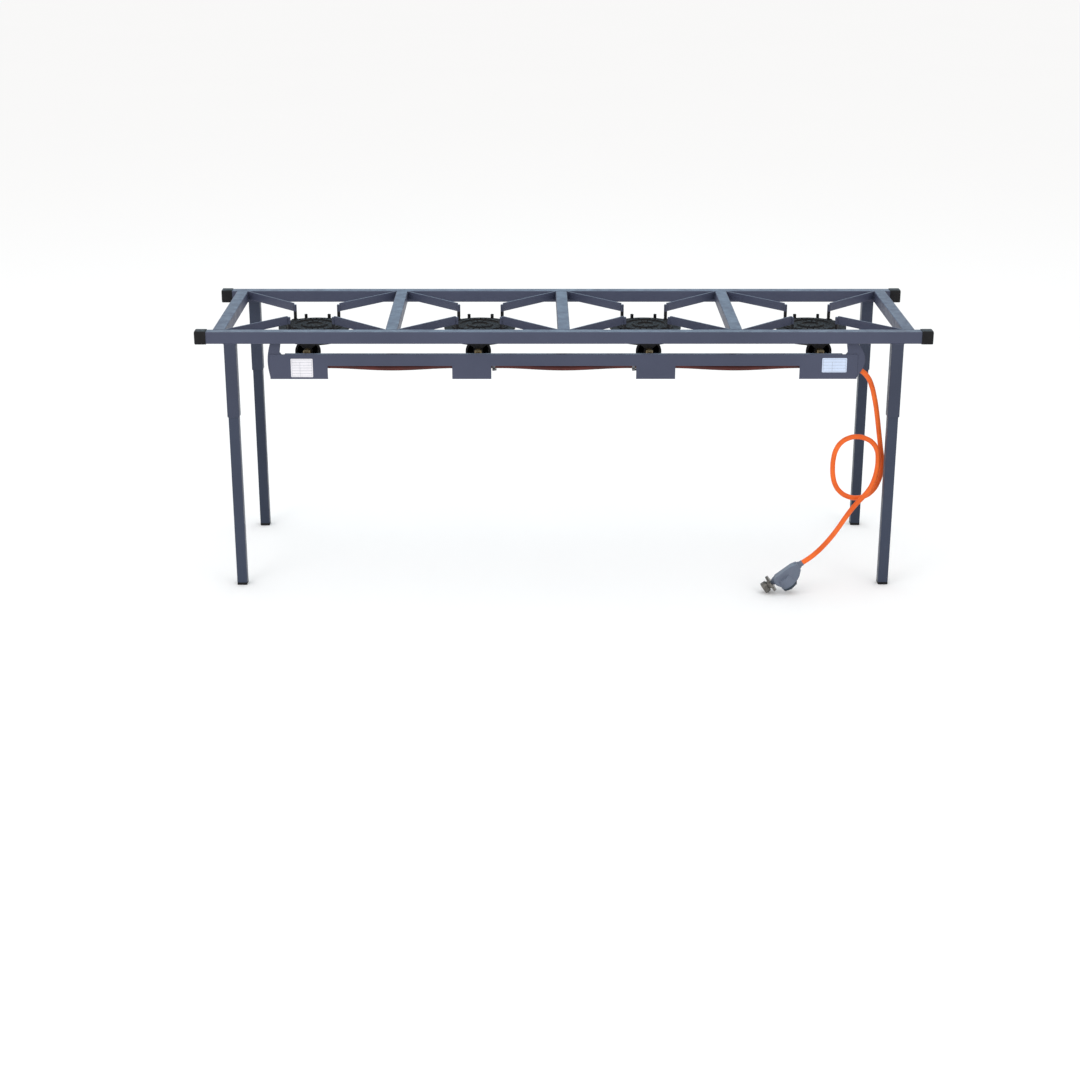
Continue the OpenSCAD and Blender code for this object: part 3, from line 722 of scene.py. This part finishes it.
def make_nuts():
    """Hexagon nuts with chamfered corners."""
    across = 16 * MM
    bottom = low("stud_nuts").z
    height = high("stud_nuts").z - bottom
    count = 72
    corner = across / 2 / math.cos(math.pi / 6)
    tip = across / 2 - 0.4 * MM
    shoulder = across / 2 + 0.5 * MM
    levels = [(0.0, tip), (0.55 * MM, shoulder), (1.2 * MM, corner),
              (height - 1.2 * MM, corner), (height - 0.55 * MM, shoulder), (height, tip)]
    rings = []
    for z, limit in levels:
        ring = []
        for k in range(count):
            t = 2 * math.pi * k / count
            to_flat = (t + math.pi / 6) % (math.pi / 3) - math.pi / 6
            r = min(across / 2 / math.cos(to_flat), limit)
            ring.append(Vector((r * math.cos(t + math.pi / 6), r * math.sin(t + math.pi / 6), z)))
        rings.append(ring)
    shape = Shape()
    for x, y in rod_places():
        shape.rings(rings, Matrix.Translation((x, y, bottom)))
    shape.build("rod_nuts_look", BLACK_STEEL, "root", ["stud_nuts"], 25.0)


# Burner cap, in millimetres: (radius, height, which slots cut this ring), from the middle outwards
CAP_PROFILE = [
    (6, 3.0, None), (21.5, 3.0, None), (22.6, 3.25, None), (24.3, 6.2, None), (24.8, 6.8, None),
    (25.6, 7.0, None), (26, 7.0, "inner"), (32, 7.0, "inner"), (38, 7.0, "inner"),
    (38.4, 7.0, None), (39.2, 6.8, None), (39.7, 6.2, None), (41.4, 3.25, None),
    (42.5, 3.0, None), (50, 3.0, None), (56.5, 3.0, None), (57.6, 3.25, None), (59.3, 6.2, None),
    (59.8, 6.8, None), (60.6, 7.0, None), (61, 7.0, "outer"), (68, 7.0, "outer"),
    (75, 7.0, "outer"), (75.4, 7.0, None), (76.2, 6.8, None), (76.7, 6.2, None),
    (78.4, 3.25, None), (79.5, 3.0, None), (84, 3.0, None), (84.7, 2.7, None), (85, 2.0, None),
    (85, 0.6, None), (84.6, 0.1, None), (84, 0.0, None), (80.7, 0.0, None), (80.7, -4.6, None),
    (80.3, -5.0, None), (76.2, -5.0, None), (76, -4.8, None), (76, -1.0, None), (40, -1.0, None),
    (6, -1.0, None),
]
SLOT_HALF = 1.25
SLOT_FLOOR = -0.8
SLOT_STEP = 15


def cap_columns(radius):
    """Angle, and how far down the slot wall, of each point in one 15 degree share of a ring."""
    reach = max(radius, 20.0)
    wall = math.degrees(SLOT_HALF / reach)
    brim = math.degrees((SLOT_HALF + 0.35) / reach)
    lip = math.degrees((SLOT_HALF + 0.75) / reach)
    return [(-lip, 0.0), (-brim, 0.05), (-wall, 1.0), (wall, 1.0), (brim, 0.05), (lip, 0.0),
            (6.2, 0.0), (7.5, 0.0), (8.8, 0.0)]


def cap_rings():
    rings = []
    for radius, height, slots in CAP_PROFILE:
        ring = []
        for share in range(360 // SLOT_STEP):
            cut = slots == "outer" or (slots == "inner" and share % 2 == 1)
            for angle, depth in cap_columns(radius):
                t = math.radians(share * SLOT_STEP + angle)
                z = height + (SLOT_FLOOR - height) * depth if cut else height
                ring.append(Vector((radius * math.cos(t), radius * math.sin(t), z)) * MM)
        rings.append(ring)
    return rings


def make_burners():
    rings = cap_rings()
    base = high("burner_cap_1").z - 7 * MM
    for i in BURNERS:
        refined(f"burner_body_{i}", "root", CAST_IRON, 0.4 * MM, 2)
        cap = Shape()
        cap.rings(rings, Matrix.Translation((BURNER_X[i - 1], 0.0, base)))
        cap.build(f"look_burner_cap_{i}", CAP_IRON, "root", [f"burner_cap_{i}"], 30.0)
        refined(f"air_shutter_{i}", f"shutter_{i}", BLACK_STEEL, 0.35 * MM, 2)


make_rods()
make_nuts()
make_burners()

# ---------- gas line ----------


def make_taps():
    refined("injectors", "root", JET_BRASS, 0.35 * MM, 2)
    for i in BURNERS:
        refined(f"gas_tap_{i}", "root", BRASS, 0.45 * MM, 2)
        refined(f"tap_spindle_{i}", f"knob_{i}", BRASS, 0.3 * MM, 2)
        refined(f"tap_knob_{i}", f"knob_{i}", KNOB_PLASTIC, 0.9 * MM, 3)
        knob = middle(f"tap_knob_{i}")
        front = low(f"tap_knob_{i}")
        shape = Shape()
        shape.block((-0.9 * MM, -16.5 * MM, -0.3 * MM), (0.9 * MM, -6 * MM, 0.25 * MM),
                    Matrix.Translation((knob.x, TAP_Y, front.z + 0.1 * MM)), 0.1 * MM)
        shape.build(f"knob_index_{i}", INDEX_WHITE, f"knob_{i}")


def make_clamps():
    """Worm-drive clamps: slotted band, screw housing and hexagon screw head."""
    band_half = 4.5 * MM
    inner = HOSE_D / 2 - 0.1 * MM
    outer = HOSE_D / 2 + 1.0 * MM
    shape = Shape()
    places = [BURNER_X[0] + 46 * MM] + [x + s * 46 * MM for x in BURNER_X[1:] for s in (-1, 1)]
    for x in places:
        place = towards((x, HOSE_Y, HOSE_Z), (1, 0, 0), (0, 0, -1))
        lip = 0.35 * MM
        shape.turned([(inner, -band_half), (outer - lip, -band_half), (outer, -band_half + lip),
                      (outer, -2.6 * MM), (outer - 0.25 * MM, -2.4 * MM), (outer - 0.25 * MM, 2.4 * MM),
                      (outer, 2.6 * MM), (outer, band_half - lip), (outer - lip, band_half),
                      (inner, band_half)],
                     place, 56)
        for k in range(18):
            turn = place @ Matrix.Rotation(2 * math.pi * k / 18, 4, "Z")
            shape.block((outer - 0.5 * MM, -0.55 * MM, -2.3 * MM),
                        (outer + 0.12 * MM, 0.55 * MM, 2.3 * MM), turn, 0.1 * MM)
        under = HOSE_Z - HOSE_D / 2
        shape.block((x - 4.5 * MM, HOSE_Y - 4.9 * MM, under - 7.2 * MM),
                    (x + 3.4 * MM, HOSE_Y + 4.9 * MM, under - 0.6 * MM), Matrix(), 1.1 * MM)
        screw = towards((x + 3.2 * MM, HOSE_Y, under - 4.1 * MM), (1, 0, 0))
        shape.turned([(2.0 * MM, 0.0), (2.0 * MM, 0.8 * MM), (3.7 * MM, 0.9 * MM), (3.8 * MM, 1.2 * MM),
                      (3.7 * MM, 1.5 * MM)], screw, 24)
        shape.turned([(3.3 * MM, 1.4 * MM), (3.3 * MM, 4.2 * MM), (2.8 * MM, 4.8 * MM)], screw, 6)
    shape.build("hose_clamps_look", CLAMP_STEEL, "root", ["hose_clamps"])


make_taps()
make_clamps()

# ---------- hose shield ----------


SPOT_WELD_X = 838
SPOT_WELD_Z = (650, 672, 694)


def make_shield():
    refined("hose_shield", "root", FRAME_PAINT, 0.8 * MM, 3)
    refined("shield_brackets", "root", FRAME_PAINT, 0.5 * MM, 2)
    front = low("hose_shield").y
    spots = Shape()
    for side in (-1, 1):
        for z in SPOT_WELD_Z:
            at = towards((side * SPOT_WELD_X * MM, front + 0.35 * MM, z * MM), (0, -1, 0))
            spots.turned([(3.4 * MM, 0.0), (3.1 * MM, 0.37 * MM), (2.3 * MM, 0.44 * MM),
                          (1.6 * MM, 0.36 * MM)], at, 32)
    spots.build("shield_spot_welds", FRAME_PAINT, "root")


def rounded_plate(width, height, radius, thickness):
    outline = []
    for quarter, (sx, sz) in enumerate(((1, 1), (-1, 1), (-1, -1), (1, -1))):
        for k in range(7):
            t = quarter * math.pi / 2 + k / 6 * math.pi / 2
            outline.append(Vector((sx * (width / 2 - radius) + radius * math.cos(t),
                                   sz * (height / 2 - radius) + radius * math.sin(t), 0.0)))
    return [[p + Vector((0, 0, z)) for p in outline] for z in (0.0, thickness)]


def make_labels():
    """Blank data plates: a border and empty ruled rows, with no lettering."""
    front = low("label_plates").y
    a, b = low("label_plates"), high("label_plates")
    thick = high("label_plates").y - front
    left = (a.x, a.x + 64 * MM, 640 * MM, 695 * MM)
    right = (b.x - 72 * MM, b.x, 654 * MM, 697 * MM)
    for name, (x0, x1, z0, z1), film, rows in (
        ("label_plate_left", left, LABEL_WHITE, 5), ("label_plate_right", right, LABEL_BLUE, 3)
    ):
        centre = Vector(((x0 + x1) / 2, front + thick, (z0 + z1) / 2))
        width, height = x1 - x0, z1 - z0
        face = towards(centre, (0, -1, 0), (1, 0, 0))
        plate = Shape()
        plate.rings(rounded_plate(width, height, 2.5 * MM, thick), face)
        plate.build(name, film, "root", ["label_plates"])
        print_ = Shape()
        ink = 0.05 * MM
        inset = 3 * MM
        line = 0.7 * MM
        half_w, half_h = width / 2 - inset, height / 2 - inset
        bars = [(-half_w, half_h - line, half_w, half_h), (-half_w, -half_h, half_w, -half_h + line),
                (-half_w, -half_h, -half_w + line, half_h), (half_w - line, -half_h, half_w, half_h)]
        for k in range(1, rows + 1):
            level = -half_h + 2 * half_h * k / (rows + 1)
            bars.append((-half_w, level - line / 2, half_w, level + line / 2))
        bars.append((-half_w * 0.2, -half_h, -half_w * 0.2 + line, half_h - 2 * half_h / (rows + 1)))
        for bx0, by0, bx1, by1 in bars:
            print_.block((bx0, by0, thick - ink), (bx1, by1, thick + ink), face, 0.02 * MM)
        print_.build(name + "_rules", LABEL_INK, "root")


make_shield()
make_labels()

# ---------- regulator ----------


def make_bonnet_details():
    """Six pan-head screws round the bonnet, and a black disc at the vent: painted shade standing in for the
    vent's hole.
    """
    bonnet = REG_PLACE @ Matrix.Translation(Vector((34, 0, 70)) * MM) @ Matrix.Rotation(math.pi / 2, 4, "Y")
    screws = Shape()
    for k in range(6):
        turn = Matrix.Rotation((k + 0.5) * math.pi / 3, 4, "Z")
        at = bonnet @ turn @ Matrix.Translation(Vector((20.6, 0, 5)) * MM)
        screws.turned([(2.6 * MM, 0.0), (2.6 * MM, 3.2 * MM), (2.3 * MM, 3.9 * MM),
                       (1.5 * MM, 4.2 * MM)], at, 24)
    # A thin black disc on the bonnet, painted shade where the vent's hole is.
    vent = Shape()
    vent.turned([(2.6 * MM, 11.6 * MM), (2.6 * MM, 12.05 * MM), (2.2 * MM, 12.1 * MM)], bonnet, 28)
    return [screws.build("bonnet_screws", CLAMP_STEEL, "root"),
            vent.build("bonnet_vent_shade_disc", BLACK_PLASTIC, "root")]


def make_regulator():
    body = refined("regulator_body", "root", REG_GREY, 1.6 * MM, 4)
    cap = refined("regulator_cap", "root", REG_DARK, 1.0 * MM, 3)
    nut = refined("regulator_nut", "union_nut", NUT_METAL, 0.5 * MM, 2)
    return [body, cap, nut] + make_bonnet_details()


regulator = make_regulator()

# ---------- floor and light ----------


def pale_floor():
    p = Paint("pale_floor")
    colour = p.mix(p.band(p.noise(0.7, 3.0), 0.3, 0.7, 0.0, 0.25),
                   (0.955, 0.955, 0.955), (0.94, 0.94, 0.943))
    normal = p.bump(p.noise(60.0, 2.0), 0.03, 1.0 * MM)
    p.shader.inputs["Specular IOR Level"].default_value = 0.0
    return p.finish(colour, 0.9, normal)


def make_stage():
    reach = 60.0
    mesh = bpy.data.meshes.new("floor")
    corners = [(-reach, -reach, 0), (reach, -reach, 0), (reach, reach, 0), (-reach, reach, 0)]
    mesh.from_pydata(corners, [], [(0, 1, 2, 3)])
    floor = new_object("floor", mesh, pale_floor())
    world = bpy.data.worlds.new("studio")
    bpy.context.scene.world = world
    world.use_nodes = True
    sky = next(n for n in world.node_tree.nodes if n.type == "BACKGROUND")
    sky.inputs["Color"].default_value = (1.0, 0.995, 0.99, 1.0)
    sky.inputs["Strength"].default_value = 0.99


def area_light(name, at, aim, size, power, colour):
    data = bpy.data.lights.new(name, "AREA")
    data.shape = "DISK"
    data.size = size
    data.energy = power
    data.color = colour
    light = bpy.data.objects.new(name, data)
    bpy.context.scene.collection.objects.link(light)
    light.matrix_world = towards(at, Vector(at) - Vector(aim))
    return light


def make_lights():
    centre = (0.0, 0.0, 0.5)
    area_light("overhead", (0.0, 0.6, 4.4), centre, 4.5, 40.0, (0.72, 0.93, 1.0))
    area_light("front_left", (-3.2, -4.2, 3.0), centre, 3.0, 40.0, (1.0, 0.95, 0.98))
    area_light("front_right", (3.6, -3.6, 2.2), centre, 3.0, 22.0, (1.0, 0.96, 0.98))
    skylight = area_light("skylight", (0.0, 8.0, 4.2), centre, 7.0, 95.0, (0.10, 0.62, 1.0))
    skylight.visible_diffuse = False
    skylight.visible_camera = False


make_stage()
make_lights()
bpy.context.scene.view_settings.view_transform = "Standard"
